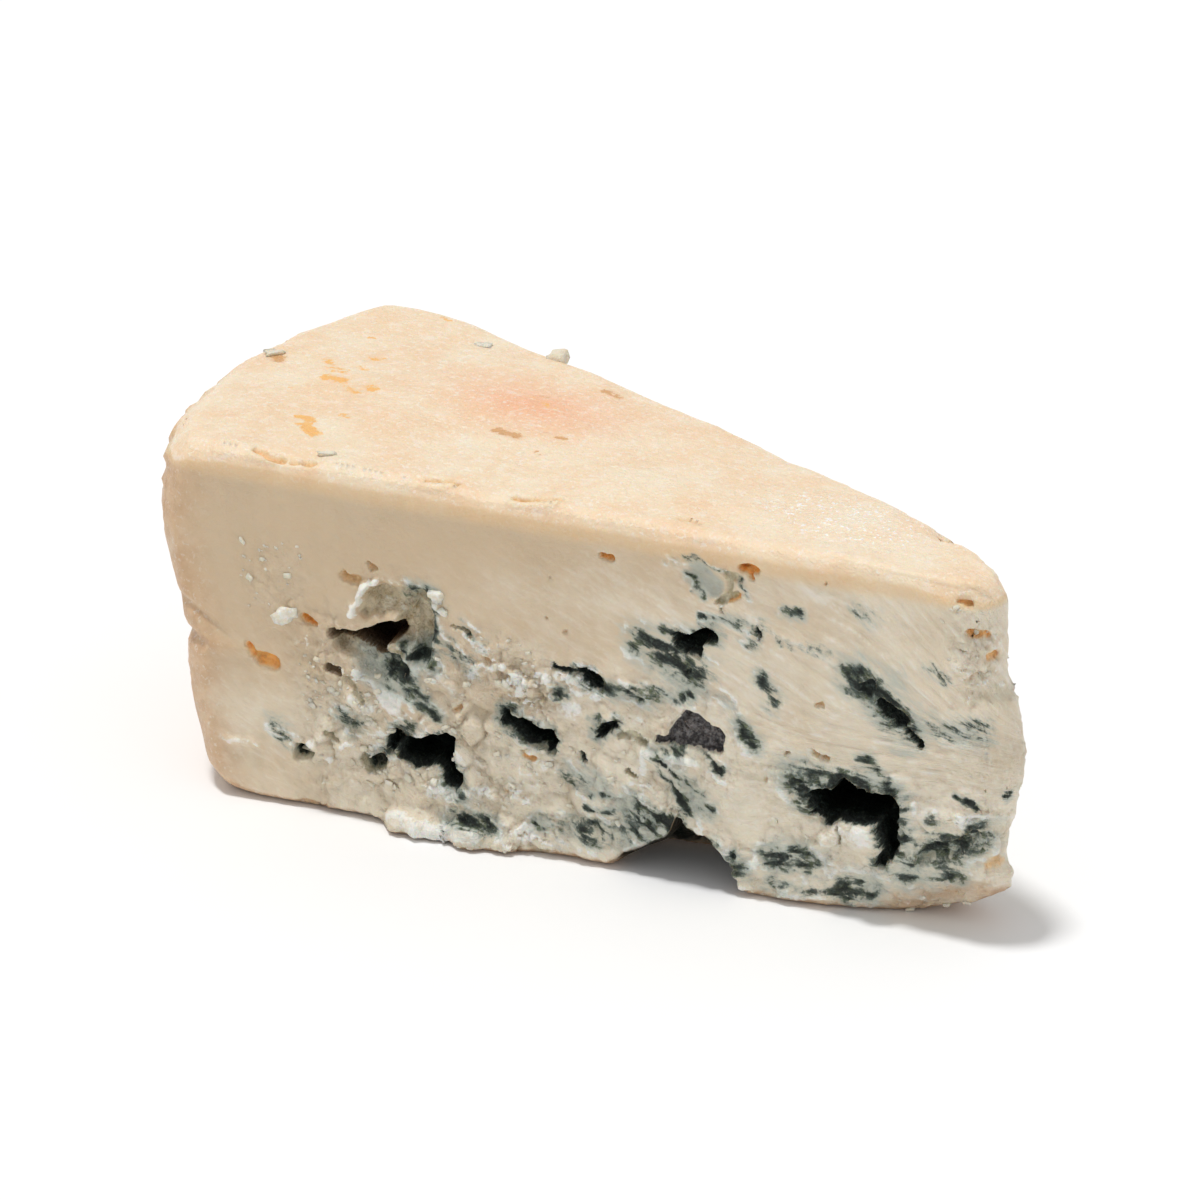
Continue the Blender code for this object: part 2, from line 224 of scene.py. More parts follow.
# Marks on the rind, seen from above: start, end, half width and strength
ORANGE_MARKS = (
    (-49.6, -15.6, -46.4, -16.6, 0.9, 1), (-46.8, -18.2, -42.6, -20.8, 0.9, 1),
    (-61.5, 6.5, -59, 5, 0.9, 0.6), (-58.5, 3.5, -55.5, 2.5, 0.9, 0.7), (-56, -0.5, -52.5, -0.8, 1.1, 0.8),
    (-55, 5.6, -52.5, 5, 0.7, 0.6), (-51, -2.6, -48, -3.2, 1, 0.6), (-54.9, 10, -53.5, 9.7, 0.9, 0.8),
    (-43.9, -12.3, -42.2, -12.7, 0.8, 0.6), (-58.5, -6.7, -56, -7.2, 0.8, 0.4),
    (-47.7, -0.4, -46, -1, 0.8, 0.6), (-58.5, 31.5, -56, 31, 0.9, 0.6), (-62, 18, -60, 17, 0.8, 0.4),
    (-33, 2.5, -30, 1.5, 1, 0.4), (-24, 11.5, -19, 10, 1.4, 0.4),
)
BROWN_MARKS = (
    (-20, -2.8, -15.8, -3.2, 0.9, 0.9), (-16.9, 21.6, -13.9, 20.8, 0.9, 0.8),
    (-23.6, 13.2, -22.8, 13, 0.8, 0.5), (-10.4, 0.2, -9.2, 0, 0.5, 0.9),
    (-9.8, -6.3, -8.9, -6.7, 0.5, 0.7), (-70.5, 3.5, -68, 1.5, 0.9, 0.8),
)
AMBER_SLITS = (
    (-46.5, -30.2, -41, -29.8, 0.5, 1), (-40, -29.8, -36, -28.6, 0.4, 0.8),
    (-17.6, -24.2, -12.8, -22.6, 0.45, 1), (-3, -21.2, 0.4, -20.5, 0.5, 0.9),
    (0.4, -20.5, 4.4, -18.8, 0.45, 1), (22, -14, 28, -12.5, 0.4, 0.5),
)
# The pink blush and the moist patch, seen from above: place and reach
BLUSH = (-21, 9, 15, 9)
WET = (43, 1.5, 15, 9)
# A dent in the rind's back edge near the nose, seen from above, with its half width and depth
EDGE_DENT = (57.5, 7.6, 2.6, 1.3)

# The back cut's pockets, by the same seeded rule as the solid's
BACK_POCKET_COUNT = 9
BACK_SHARES = (0.14, 0.88)
BACK_HEIGHT_SHARES = (0.2, 0.8)
BACK_POCKET_WIDTH = (5, 13)
BACK_POCKET_SPACING = 15
SEED = 7

# Large odd numbers that scatter the lattice cells of the noise, and one for its seeds
CELL_STEPS = np.array((374761393, 668265263, 1442695041))
SEED_STEP = 974634777


def mix(low, high, share):
    return low + (high - low) * share


def bump(value, centre, width):
    return np.exp(-(((value - centre) / width) ** 2))


def unit(value):
    return np.clip(value, 0, 1)


def ramp(value, start, end):
    share = unit((value - start) / (end - start))
    return share * share * (3 - 2 * share)


def fall(value, start, end):
    return 1 - ramp(value, start, end)


def cell_value(cell, seed):
    """A fixed number from 0 to 1 for each lattice cell."""
    mixed = (cell * CELL_STEPS).sum(axis=1) + seed * SEED_STEP
    mixed = (mixed ^ (mixed >> 13)) * 1274126177 & 0x7FFFFFFF
    mixed = (mixed ^ (mixed >> 15)) * 2246822519 & 0x7FFFFFFF
    return ((mixed ^ (mixed >> 13)) & 0xFFFFF) / 0xFFFFF


def noise(points, size, seed):
    """Noise from -1 to 1 whose lumps have the given size."""
    scaled = points / size + 31.7
    cell = np.floor(scaled).astype(np.int64)
    inside = scaled - cell
    inside = inside * inside * (3 - 2 * inside)
    total = np.zeros(len(points))
    for corner in itertools.product((0, 1), repeat=3):
        offset = np.array(corner)
        weight = np.prod(np.where(offset == 1, inside, 1 - inside), axis=1)
        total += weight * cell_value(cell + offset, seed)
    return total * 2 - 1


def layered_noise(points, size, seed, layers=3):
    """Noise in layers, each about half as large and half as strong as the one before."""
    total = np.zeros(len(points))
    for layer in range(layers):
        total += noise(points, size / 2.1**layer, seed + layer) * 0.5**layer
    return total


def curd(points, size, seed):
    """For lumps packed at the given size: distance from the nearest one, and closeness to a seam."""
    scaled = points / size + 57.3
    cell = np.floor(scaled).astype(np.int64)
    nearest = np.full(len(points), 9.0)
    second = np.full(len(points), 9.0)
    for step in itertools.product((-1, 0, 1), repeat=3):
        there = cell + np.array(step)
        centre = there + np.column_stack([cell_value(there, seed + axis) for axis in range(3)])
        distance = np.linalg.norm(scaled - centre, axis=1)
        second = np.minimum(second, np.maximum(nearest, distance))
        nearest = np.minimum(nearest, distance)
    return nearest, second - nearest


def stroke_gap(across, up, stroke, droop=1.0):
    """Distance from a stroke's middle line, as a share of its half width. Below it the shape droops."""
    start = np.array(stroke[:2])
    span = np.array(stroke[2:4]) - start
    length = max(float(span @ span), 1e-6)
    share = unit(((across - start[0]) * span[0] + (up - start[1]) * span[1]) / length)
    rise = up - start[1] - share * span[1]
    rise = np.where(rise < 0, rise / droop, rise)
    return np.hypot(across - start[0] - share * span[0], rise) / stroke[4]


def strongest_stroke(across, up, strokes, narrowness=0.7):
    """A soft field, at each stroke's strength on its middle line."""
    field = np.zeros(len(across))
    for stroke in strokes:
        field = np.maximum(field, stroke[5] * np.exp(-(stroke_gap(across, up, stroke) ** 2) * narrowness))
    return field


def ridged(points, size, seed):
    """Noise that peaks along thin lines."""
    return 1 - 2.4 * np.abs(noise(points, size, seed))


def nose_corners():
    front = FRONT_HEEL + ALONG * FRONT_LENGTH
    lean = np.array((0.1, 1.0))
    return front, front + lean / np.linalg.norm(lean) * NOSE_WIDTH


def rounded_shares(share):
    """Rounds the block's edges: crisp along the cuts, softer at the heel, foot and nose."""
    local_width = mix(HEEL_WIDTH, NOSE_WIDTH, share[:, 0])
    size = np.column_stack((np.full(len(share), FRONT_LENGTH), local_width, np.full(len(share), HEIGHT)))
    place = share * size
    radius = EDGE_RADIUS + TOP_ROUNDING * ramp(share[:, 2], 0.9, 0.98)
    radius += HEEL_ROUNDING * bump(place[:, 0], 0, 7)
    radius += NOSE_ROUNDING * ramp(share[:, 0], 0.92, 1)
    radius += FOOT_ROUNDING * fall(place[:, 2], 0, 7)
    radius = np.minimum(radius, 0.45 * local_width)[:, None]
    core = np.clip(place, radius, size - radius)
    away = place - core
    reach = np.maximum(np.linalg.norm(away, axis=1, keepdims=True), 1e-9)
    return (core + away / reach * radius) / size


def wedge_form(share):
    """Places points of the unit block on the wedge."""
    length, width, height = rounded_shares(share).T
    nose_front, nose_back = nose_corners()
    bow = 4 * width * (1 - width)
    heel = mix(FRONT_HEEL, BACK_HEEL, width[:, None]) - np.column_stack((HEEL_BOW * bow, 0 * bow))
    nose = mix(nose_front, nose_back, width[:, None]) + np.column_stack((NOSE_BOW * bow, 0 * bow))
    spot = mix(heel, nose, length[:, None])

    bulge = HEEL_BULGE * bump(height, 0.74, 0.20) + 1.0 * bump(height, 0.25, 0.12)
    crease = HEEL_CREASE * bump(height, CREASE_HEIGHT, 0.022)
    heel_out = bulge - crease - HEEL_UNDERCUT * (1 - height) ** 2
    spot[:, 0] -= heel_out * np.exp(-((length * FRONT_LENGTH / HEEL_REACH) ** 2))
    nose_out = NOSE_BULGE * bump(height, 0.46, 0.27) - bump(height, 0.72, 0.06)
    nose_out += 1.6 * bump(height, 0.09, 0.06)
    spot[:, 0] += nose_out * np.exp(-(((1 - length) * FRONT_LENGTH / NOSE_REACH) ** 2))
    spot[:, 1] += BACK_BOW * width**2 * (4 * length * (1 - length)) ** 0.7

    low = (1 - np.minimum(height / 0.30, 1)) ** 2
    pull = NOSE_UNDERCUT * low * ramp(length, 0.76, 1) * (1 - width) ** 2
    start, end, spread = SPREAD_FOOT
    along = length * FRONT_LENGTH
    lip = ramp(along, start - 4, start + 3) * fall(along, end - 8, end + 6)
    lip *= 0.7 + 0.5 * noise(np.column_stack((along, 0 * along, 0 * along)), 3.4, 4)
    lip *= spread * bump(height, 0.0, 0.040) + 0.8 * bump(height, 0.07, 0.04)
    spot += OUTWARD * (lip * (1 - width) ** 4 - pull)[:, None]

    crown = TOP_CROWN * bow * np.sin(math.pi * np.minimum(length * 1.1, 1))
    top = HEIGHT + crown - NOSE_DROOP * ramp(length, 0.90, 1)
    base = NOSE_LIFT * ramp(length, 0.86, 1) ** 2 + arch_rise(spot)
    return np.column_stack((spot, mix(base, top, height)))


def arch_rise(spot):
    """How far the torn hollow lifts the base."""
    peak, left, right, rise, depth = ARCH
    along = (spot - FRONT_HEEL) @ ALONG
    inward = -(spot - FRONT_HEEL) @ OUTWARD
    ragged = along + 0.7 * noise(np.column_stack((spot, 0 * along)), 3, 3) - peak
    side = np.abs(ragged) / np.where(ragged < 0, left, right)
    dome = rise * unit(1 - side ** np.where(ragged < 0, 1.15, 2.6))
    notch = ARCH_NOTCH[2] * bump(along, *ARCH_NOTCH[:2])
    return (dome + notch) * fall(inward, 0.45 * depth, depth)


def front_places(points):
    """Along and up the front cut, for points seen from the camera's side."""
    offset = points[:, :2] - FRONT_HEEL
    inward = -offset @ OUTWARD
    return offset @ ALONG + VIEW_DRIFT[0] * inward, points[:, 2] + VIEW_DRIFT[1] * inward


def back_pockets():
    """Pockets of the back cut: places along its length and height, half width and depth."""
    draw = random.Random(SEED)
    made = []
    while len(made) < BACK_POCKET_COUNT:
        length = draw.uniform(*BACK_SHARES)
        height = draw.uniform(*BACK_HEIGHT_SHARES)
        spot = np.array((length * FRONT_LENGTH, height * HEIGHT))
        if any(np.linalg.norm(spot - other[0]) < BACK_POCKET_SPACING for other in made):
            continue
        width = draw.uniform(*BACK_POCKET_WIDTH)
        thickness = width * draw.uniform(0.4, 0.7)
        turn = math.radians(draw.uniform(-35, 35))
        reach = (width - thickness) / 2 * np.array((math.cos(turn), math.sin(turn)))
        made.append((spot, (*(spot - reach), *(spot + reach), thickness / 2, width * 0.5)))
    return [stroke for _, stroke in made]


def gather_pockets(across, up, strokes, softness, droop=1.0):
    """The depth of the deepest pocket, steep at its edge."""
    depth = np.zeros(len(across))
    for stroke in strokes:
        gap = stroke_gap(across, up, stroke, droop)
        depth = np.maximum(depth, stroke[5] * fall(gap, 1 - softness, 1 + 0.35 * softness))
    return depth


def warped(points, across, up, amount):
    """Frays straight outlines, as curd tears."""
    sideways = 0.95 * noise(points, 4.3, 11) + 0.6 * noise(points, 1.9, 12)
    upwards = 0.95 * noise(points, 4.3, 14) + 0.6 * noise(points, 1.9, 15)
    sideways += 0.34 * noise(points, 0.9, 13)
    upwards += 0.34 * noise(points, 0.9, 16)
    return across + sideways * amount, up + upwards * amount


def smear_lines(points, across, up):
    """Places along and across the curved lines that a knife has dragged."""
    there = across - 96
    line = up + 0.42 * there - 0.55 * there * fall(up, 24, 36) * ramp(there, -12, 6)
    line += 0.013 * np.maximum(there - 14, 0) ** 2 * ramp(up, 30, 40)
    line += 1.6 * noise(points, 22, 51) + 0.5 * noise(points, 8, 52)
    return np.column_stack((line, across, 0 * across))


def mould_threads(lines, torn):
    """Mould spreads from its veins in a net of fine threads, drawn out along the smears."""
    broad = strongest_stroke(*torn, MOULD_VEINS, 0.42)
    coarse = ridged(lines * (1, 0.45, 1), 1.9, 81)
    fine = ridged(lines * (1, 0.6, 1), 0.95, 82)
    return np.clip(broad * (0.56 + 0.46 * coarse + 0.34 * fine), 0, 1.2)


def curd_texture(points, amount):
    """Packed curd: lumps in two sizes, cracked seams and thin scales. Besides the relief it gives a pale
    paint on the raised lumps, partly white curd and partly painted highlight, and a dark paint in the seams
    that is painted shade.
    """
    bent = points + 0.9 * np.column_stack([noise(points, 2.6, seed) for seed in (5, 6, 7)])
    lumps, seam = curd(bent, 4.4, 21)
    small_lumps, small_seam = curd(bent, 1.8, 24)
    patchy = ramp(noise(points, 6, 30), -0.5, 0.3)
    seams = np.exp(-((seam / 0.10) ** 2)) * ramp(noise(points, 5, 29), -0.1, 0.4)
    seams += 0.6 * np.exp(-((small_seam / 0.10) ** 2)) * ramp(noise(points, 4, 28), 0.0, 0.4)
    scales = ramp(layered_noise(points * (1, 1, 1.8), 1.9, 31), 0.16, 0.24)
    scales *= ramp(noise(points, 6, 33), -0.3, 0.2)
    torn = ridged(bent, 2.3, 35) + 0.6 * ridged(bent, 1.1, 36)
    small = patchy * (0.42 - small_lumps)
    texture = 1.5 * (0.42 - lumps) + 0.9 * small + 0.5 * scales - 0.6 * seams + 0.26 * torn
    # Pale on the raised lumps: partly white curd, partly painted highlight.
    pale_curd_and_highlight = ramp(small + 0.5 * scales + 0.4 * (0.4 - lumps) + 0.16 * torn, 0.20, 0.60)
    # The last share is painted shade in the seams and round the lumps.
    return amount * texture, amount * pale_curd_and_highlight, amount * unit(seams + ramp(lumps, 0.5, 0.8) * 0.5)


def crumbly_zones(points, across, up):
    """How crumbly the front cut is, and the shares of this near holes, at the lower left and at the nose."""
    lower_left = ramp(across, 16, 30) * (1 - 0.35 * ramp(across, 64, 86)) * fall(across, 88, 106)
    lower_left *= fall(up, 28, 40)
    lower_right = ramp(across, 70, 90) * fall(up, 20, 32) * 0.62
    nose_side = ramp(across, 128, 135) * (0.25 + 0.6 * ramp(up, 38, 45) * fall(across, 138, 141))
    beside = [widened(hole, 3.0, 1) for hole in BROWN_POCKETS[:3] + GREY_POCKETS[:3] + DARK_POCKETS[:6]]
    near_holes = 0.85 * gather_pockets(across, up, beside, 0.95)
    flaked = bump(across, 18, 6) * bump(up, 38, 8) * 0.6
    crumbly = np.maximum.reduce((lower_left, lower_right, nose_side, near_holes, flaked, 0.05 + 0 * across))
    return crumbly * (0.75 + 0.35 * noise(points, 9, 34)), near_holes, lower_left, nose_side


def front_mould(points, lines, torn, dark, grey, olive):
    """Mould on the front cut, and how close each point is to a dark hole."""
    across, up = front_places(points)
    beside = [widened(hole, 1.8, 1) for hole in DARK_POCKETS if hole[4] > 0.8]
    around = gather_pockets(*torn, beside, 0.95)
    column = ramp(across, 37, 43) * ramp(np.abs(up - 34.8), 1.5, 4.5)
    mould = np.maximum.reduce((
        mould_threads(lines, torn),
        around * (0.42 + 0.36 * ridged(lines * (1, 0.6, 1), 1.6, 84)),
        ramp(dark, 0.3, 1.2),
        ramp(grey, 0.3, 1.6) * (0.04 + 0.30 * column + 0.22 * noise(points, 2.4, 86)),
        0.5 * ramp(olive, 0.6, 2.4)))
    return mould, around


def pale_fringe(points, lines, across, up, torn, depth):
    """Ridges of white curd along the veins."""
    fringe = bump(strongest_stroke(*torn, MOULD_VEINS, 0.22), 0.34, 0.15) * fall(depth, 0.1, 0.6)
    fringe *= ramp(ridged(lines * (1, 0.55, 1), 2.4, 92) + 0.4 * ridged(points, 1.1, 93), 0.25, 1.05)
    return fringe * (1 - 0.6 * ramp(across, 92, 108) * ramp(up, 20, 30))


def front_relief(points, facing):
    """How far the front cut moves outwards, and what is painted on it."""
    across, up = front_places(points)
    torn = warped(points, across, up, 0.9)
    soft = warped(points, across, up, 0.45)
    brown = gather_pockets(*soft, BROWN_POCKETS, 0.3, 1.15)
    dark = gather_pockets(*torn, DARK_POCKETS, 0.45, 1.35)
    grey = gather_pockets(*soft, GREY_POCKETS, 0.5, 1.1)
    olive = gather_pockets(*torn, OLIVE_POCKETS, 0.5, 1.1)
    amber = gather_pockets(*soft, AMBER_POCKETS, 0.6, 0.9)
    golden = gather_pockets(*torn, GOLDEN_POCKETS, 0.7, 0.9)
    fur = gather_pockets(*soft, FUR_PATCHES, 0.3)
    lens = gather_pockets(*soft, (LENS,), 0.9)
    lump = gather_pockets(*torn, CURD_LUMPS, 0.9)
    depth = np.maximum.reduce((brown, dark, grey, olive, amber, golden, fur, lens))

    crumbly, near_holes, lower_left, nose_side = crumbly_zones(points, across, up)
    texture, pale_curd_and_highlight, seam_shade = curd_texture(points, crumbly)
    relief = texture + 0.05 * layered_noise(points, 1.1, 41, 2)

    lines = smear_lines(points, across, up)
    ridges = ridged(lines * (1, 0.09, 1), 1.7, 53)
    threads = ridged(lines * (1, 0.12, 1), 0.8, 54)
    smear = ramp(across, 78, 96) * ramp(up, 16, 26) * fall(up, 50, 57) * (1 - 0.6 * nose_side)
    smear = unit(smear + 0.35 * ramp(across, 50, 70) * (1 - lower_left))
    relief += smear * (0.17 * ridges + 0.10 * threads) * (depth < 0.4)
    drag = noise(np.column_stack((across / 1.3 + 0.12 * up, up / 26, 0 * up)), 1, 55)
    relief += 0.12 * drag * (1 - lower_left) * (1 - smear) * fall(across, 30, 60)

    inner = ramp(depth, 0.3, 2.0) * (1 - 0.7 * ramp(brown, 1, 4))
    wall = points + np.column_stack((OUTWARD[0] * depth, OUTWARD[1] * depth, 0 * depth))
    wall_lumps, _ = curd(wall, 2.3, 27)
    relief += inner * (1.3 * (0.5 - wall_lumps) + 0.35 * layered_noise(wall, 1.0, 43, 2))

    rim = ramp(depth, 0.02, 0.2) * fall(depth, 0.2, 1.0)
    rim *= fall(amber + golden + lens + grey + fur + brown, 0.02, 0.1)
    rim = 0.7 * rim * unit(0.35 + 0.9 * noise(points, 1.9, 45))
    groove = bump(up + 0.6 * (across - 8.9), 27.8, 0.8) * fall(across, 1, 12) * 0.8
    fringe = pale_fringe(points, lines, across, up, torn, depth)
    move = relief + 1.1 * lump + rim - depth - groove + 0.32 * fringe

    mould, around = front_mould(points, lines, torn, dark, grey, olive)
    haze = np.maximum(strongest_stroke(*soft, MOULD_VEINS, 0.13), 0.8 * around)
    haze = haze * (0.7 + 0.5 * noise(lines * (1, 0.4, 1), 4, 87)) + 0.5 * ramp(lens, 0.05, 0.6)
    specks = ramp(noise(points, 2.4, 88), -0.4, 0.3)
    chalk = 0.8 * ramp(near_holes, 0.2, 0.8) * fall(depth, 0.1, 0.6)
    chalk *= ramp(ridged(points, 2.0, 90) + 0.5 * ridged(points, 0.9, 91), 0.35, 0.95)
    beside = [widened(hole, 2.0, 1) for hole in BROWN_POCKETS[:3]]
    smooth_lip = 1 - 0.8 * gather_pockets(across, up, beside, 0.6)
    # The paste's tone, partly painted light: lighter to the right and low down towards the floor, darker
    # high up.
    paste_tone_and_light = 0.05 + 0.6 * ramp(across, 25, 110) + 0.45 * fall(up, 8, 36) + 0.25 * crumbly
    paint = {
        "mould": mould,
        "olive": np.maximum(0.55 * ramp(grey, 0.2, 1.2), ramp(olive, 0.15, 0.9)),
        "amber": np.maximum(ramp(amber, 0.08, 1.1), 0.45 * ramp(golden, 0.05, 0.9)),
        "fur": ramp(fur, 0.5, 1.1),
        # Painted shade: near black the deeper the dark, brown and olive pockets go.
        "hollow": np.maximum(ramp(np.maximum(dark, brown), 1.0, 5.5), 0.8 * ramp(olive, 1.4, 3.4)),
        "umber": np.maximum(ramp(brown, 0.1, 1.2), 0.5 * ramp(grey, 0.4, 1.6) * fall(across, 29, 34)),
        # Pale paint: white curd and rims, with painted highlight on the raised lumps.
        "pale": unit((pale_curd_and_highlight * specks + rim + chalk) * smooth_lip + 0.75 * fringe
                     + 0.7 * ramp(lump - depth, 0.15, 0.7) * (0.6 + 0.4 * specks)),
        "rough": unit(crumbly + 0.5 * ramp(depth, 0.4, 1.5)),
        # Painted shade in the seams between lumps.
        "crease": unit(seam_shade) * fall(depth, 0, 0.5),
        "paste_tone_and_light": unit(paste_tone_and_light - 0.3 * ramp(up, 44, 56) * fall(across, 95, 130)),
        "haze": unit(haze),
        "smear": smear * ramp(threads + 0.6 * ridges, 0.9, 1.5),
    }
    paint = {name: values * facing for name, values in paint.items()}
    paint["line"] = lines[:, 0]
    return move * facing, paint


def widened(stroke, extra, depth):
    return (*stroke[:4], stroke[4] + extra, depth)


def back_relief(points, share, facing):
    """The same for the back cut, which the photograph doesn't show."""
    across = share[:, 0] * FRONT_LENGTH
    up = points[:, 2]
    torn = warped(points, across, up, 1.3)
    strokes = back_pockets()
    depth = gather_pockets(*torn, strokes, 0.6, 1.3)
    around = gather_pockets(*torn, [widened(stroke, 2.6, 1) for stroke in strokes], 0.95)
    around *= 0.6 + 0.5 * noise(points, 2.2, 66)
    crumbly = 0.35 + 0.55 * ramp(noise(points, 24, 62), -0.2, 0.5)
    relief, pale_curd_and_highlight, seam_shade = curd_texture(points, crumbly)
    relief *= 1 - 0.7 * ramp(up, HEIGHT - 7, HEIGHT - 1)
    patch = 0.85 * ramp(layered_noise(points * (1, 1, 1.6), 16, 63, 2), -0.2, 0.9)
    vein = 0.42 + 0.44 * ridged(points * (1, 1, 1.5), 6, 64) + 0.30 * ridged(points * (1, 1, 1.3), 2.2, 65)
    vein = unit(patch * vein) * ramp(up, 3, 12) * fall(up, 44, 52) * ramp(across, 8, 24)
    paint = {
        "mould": np.maximum.reduce((0.8 * around, ramp(depth, 0.3, 1.2), 0.8 * vein)),
        # The same tone, partly painted light: lighter to the right and low down.
        "paste_tone_and_light": unit(0.2 + 0.5 * ramp(across, 25, 110) + 0.35 * fall(up, 8, 40)),
        # Painted shade, darker the deeper the pocket.
        "hollow": ramp(depth, 0.8, 6.0),
        # Pale curd that is partly painted highlight, and painted shade in the seams.
        "pale": 0.75 * pale_curd_and_highlight,
        "crease": seam_shade,
        "rough": crumbly,
        "haze": unit(0.5 * around + 0.5 * vein),
    }
    return (relief - depth) * facing, {name: values * facing for name, values in paint.items()}


def spot_field(x, y, spot):
    """A soft oval on the rind."""
    return np.exp(-(((x - spot[0]) / spot[2]) ** 2) - ((y - spot[1]) / spot[3]) ** 2)


def rind_relief(points, top_facing, heel_facing):
    """The rind on top and at the heel: marks, slits, a moist patch and a crust at the rim."""
    x, y, z = points.T
    loose = 0.5 * noise(points, 2.2, 71), 0.5 * noise(points, 2.2, 72)
    loose = loose[0] + 0.3 * noise(points, 0.9, 73), loose[1] + 0.3 * noise(points, 0.9, 74)
    orange = strongest_stroke(x + loose[0], y + loose[1], ORANGE_MARKS)
    brown = strongest_stroke(x + loose[0], y + loose[1], BROWN_MARKS)
    slit = strongest_stroke(x + 0.5 * loose[0], y + 0.5 * loose[1], AMBER_SLITS)
    lumps, _ = curd(points, 2.4, 75)
    move = 0.10 * layered_noise(points, 5, 76) + 0.05 * (0.5 - lumps)
    lip = strongest_stroke(x + 0.5 * loose[0], y + 0.5 * loose[1] + 1.3, AMBER_SLITS)
    move += (0.5 * ramp(lip, 0.1, 0.9) - 0.9 * ramp(slit, 0.25, 0.7)) * top_facing
    dent = np.exp(-(((x - EDGE_DENT[0]) ** 2 + (y - EDGE_DENT[1]) ** 2) / EDGE_DENT[2] ** 2))
    move -= EDGE_DENT[3] * dent * top_facing
    rim = heel_facing * ramp(z, 40, 54)
    crust = ramp(layered_noise(points, 2.0, 77), 0.05, 0.5)
    move += rim * crust * 0.6 + heel_facing * 0.22 * layered_noise(points, 1.4, 78, 2)
    paint = {
        "orange": unit(orange) * top_facing,
        "brown": unit(brown + 0.5 * rim * ramp(crust, 0.6, 1)) * np.maximum(top_facing, heel_facing),
        "amber": 0.6 * ramp(slit, 0.2, 0.6) * top_facing,
        "pale": 0.3 * ramp(lip, 0.2, 0.8) * top_facing,
        "blush": spot_field(x, y, BLUSH) * top_facing,
        "wet": spot_field(x, y, WET) * top_facing,
    }
    return move, paint


# What the material reads at each point: tones, painted shade, light and highlight, states of the surface,
# and places along the smears
PAINTS = ("mould", "olive", "amber", "fur", "hollow", "pale", "haze", "smear", "orange", "brown", "blush",
          "wet", "rind", "heel", "umber", "paste_tone_and_light", "crease", "rough", "line", "run")


def dressed_points(share, points, normals):
    """Moves points of the plain form to the torn, crumbly surface, and gives each its paints."""
    height = points[:, 2]
    front = ramp(normals @ (*OUTWARD, 0), 0.30, 0.75)
    nose = ramp(normals[:, 0], 0.5, 0.85) * ramp(share[:, 0], 0.9, 0.98)
    back = ramp(normals[:, 1], 0.35, 0.75) * (1 - nose)
    top = ramp(normals[:, 2], 0.30, 0.80)
    heel = ramp(-normals[:, 0], 0.45, 0.80)
    facing = unit(front + nose)
    waves = WAVINESS * layered_noise(points, 14, 5, 2) * ramp(height, 0.5, 6)
    inward = (FRONT_HEEL - points[:, :2]) @ OUTWARD
    edge = ramp(height, HEIGHT - 7, HEIGHT - 1.5) * fall(inward, 1.5, 8)
    waves += edge * (0.45 * noise(points, 11, 46) + 0.38 * noise(points, 4, 47) + 0.2)
    front_move, paint = front_relief(points, facing)
    back_move, back_paint = back_relief(points, share, back)
    rind_move, rind_paint = rind_relief(points, top, heel)
    paints = {name: np.zeros(len(points)) for name in PAINTS}
    for layer in (paint, back_paint, rind_paint):
        for name, values in layer.items():
            paints[name] = np.maximum(paints[name], values)
    bevel = 0.40 * bump(height, HEIGHT - 0.6, 1.3) * bump(inward, 0.6, 1.8)
    paints["pale"] = np.maximum(paints["pale"], bevel)
    paints["line"] = mix(height, paint["line"], facing)
    paints["run"] = points[:, 0]
    top = top * ramp(height, HEIGHT - 14, HEIGHT - 8)
    paints["rind"] = unit(top + ramp(height, HEIGHT - 6.5, HEIGHT - 0.5))
    under = ramp(-normals[:, 2], 0.3, 0.8)
    # Painted shade under the torn arch: its inside is painted near black.
    painted_arch_shade = ramp(arch_rise(points[:, :2]), 0.3, 2.0) * fall(share[:, 2], 0.006, 0.022)
    paints["hollow"] = np.maximum(paints["hollow"], painted_arch_shade)
    paints["rough"] = np.maximum(paints["rough"], 0.30 * top + 0.35 * heel)
    paints["heel"] = unit(heel + 0.8 * fall(share[:, 0] * FRONT_LENGTH, 0, 11) + under)
    grip = ramp(height, 0.0, 1.2)
    outwards = waves + np.maximum(front_move, -SKIN) + np.maximum(back_move, -SKIN)
    outwards += rind_move * np.maximum(top, heel)
    moved = points + normals * outwards[:, None] * grip[:, None]
    for move, into in ((front_move, (*(-OUTWARD), 0.10)), (back_move, INTO_BACK_CUT)):
        moved -= (np.minimum(move + SKIN, 0) * grip)[:, None] * np.array(into)
    moved[:, 2] = np.maximum(moved[:, 2], 0)
    return moved, paints


def write_positions(block, positions):
    for vertex, position in zip(block.verts, positions):
        vertex.co = position


def read_shares(block, layer):
    return np.array([vertex[layer] for vertex in block.verts], dtype=float)


def place_block(block, layer):
    """Moves every vertex to its dressed place. Returns the paints."""
    share = read_shares(block, layer)
    plain = wedge_form(share)
    write_positions(block, plain)
    block.normal_update()
    normals = np.array([vertex.normal for vertex in block.verts])
    dressed, paints = dressed_points(share, plain, normals)
    write_positions(block, dressed)
    block.normal_update()
    return paints


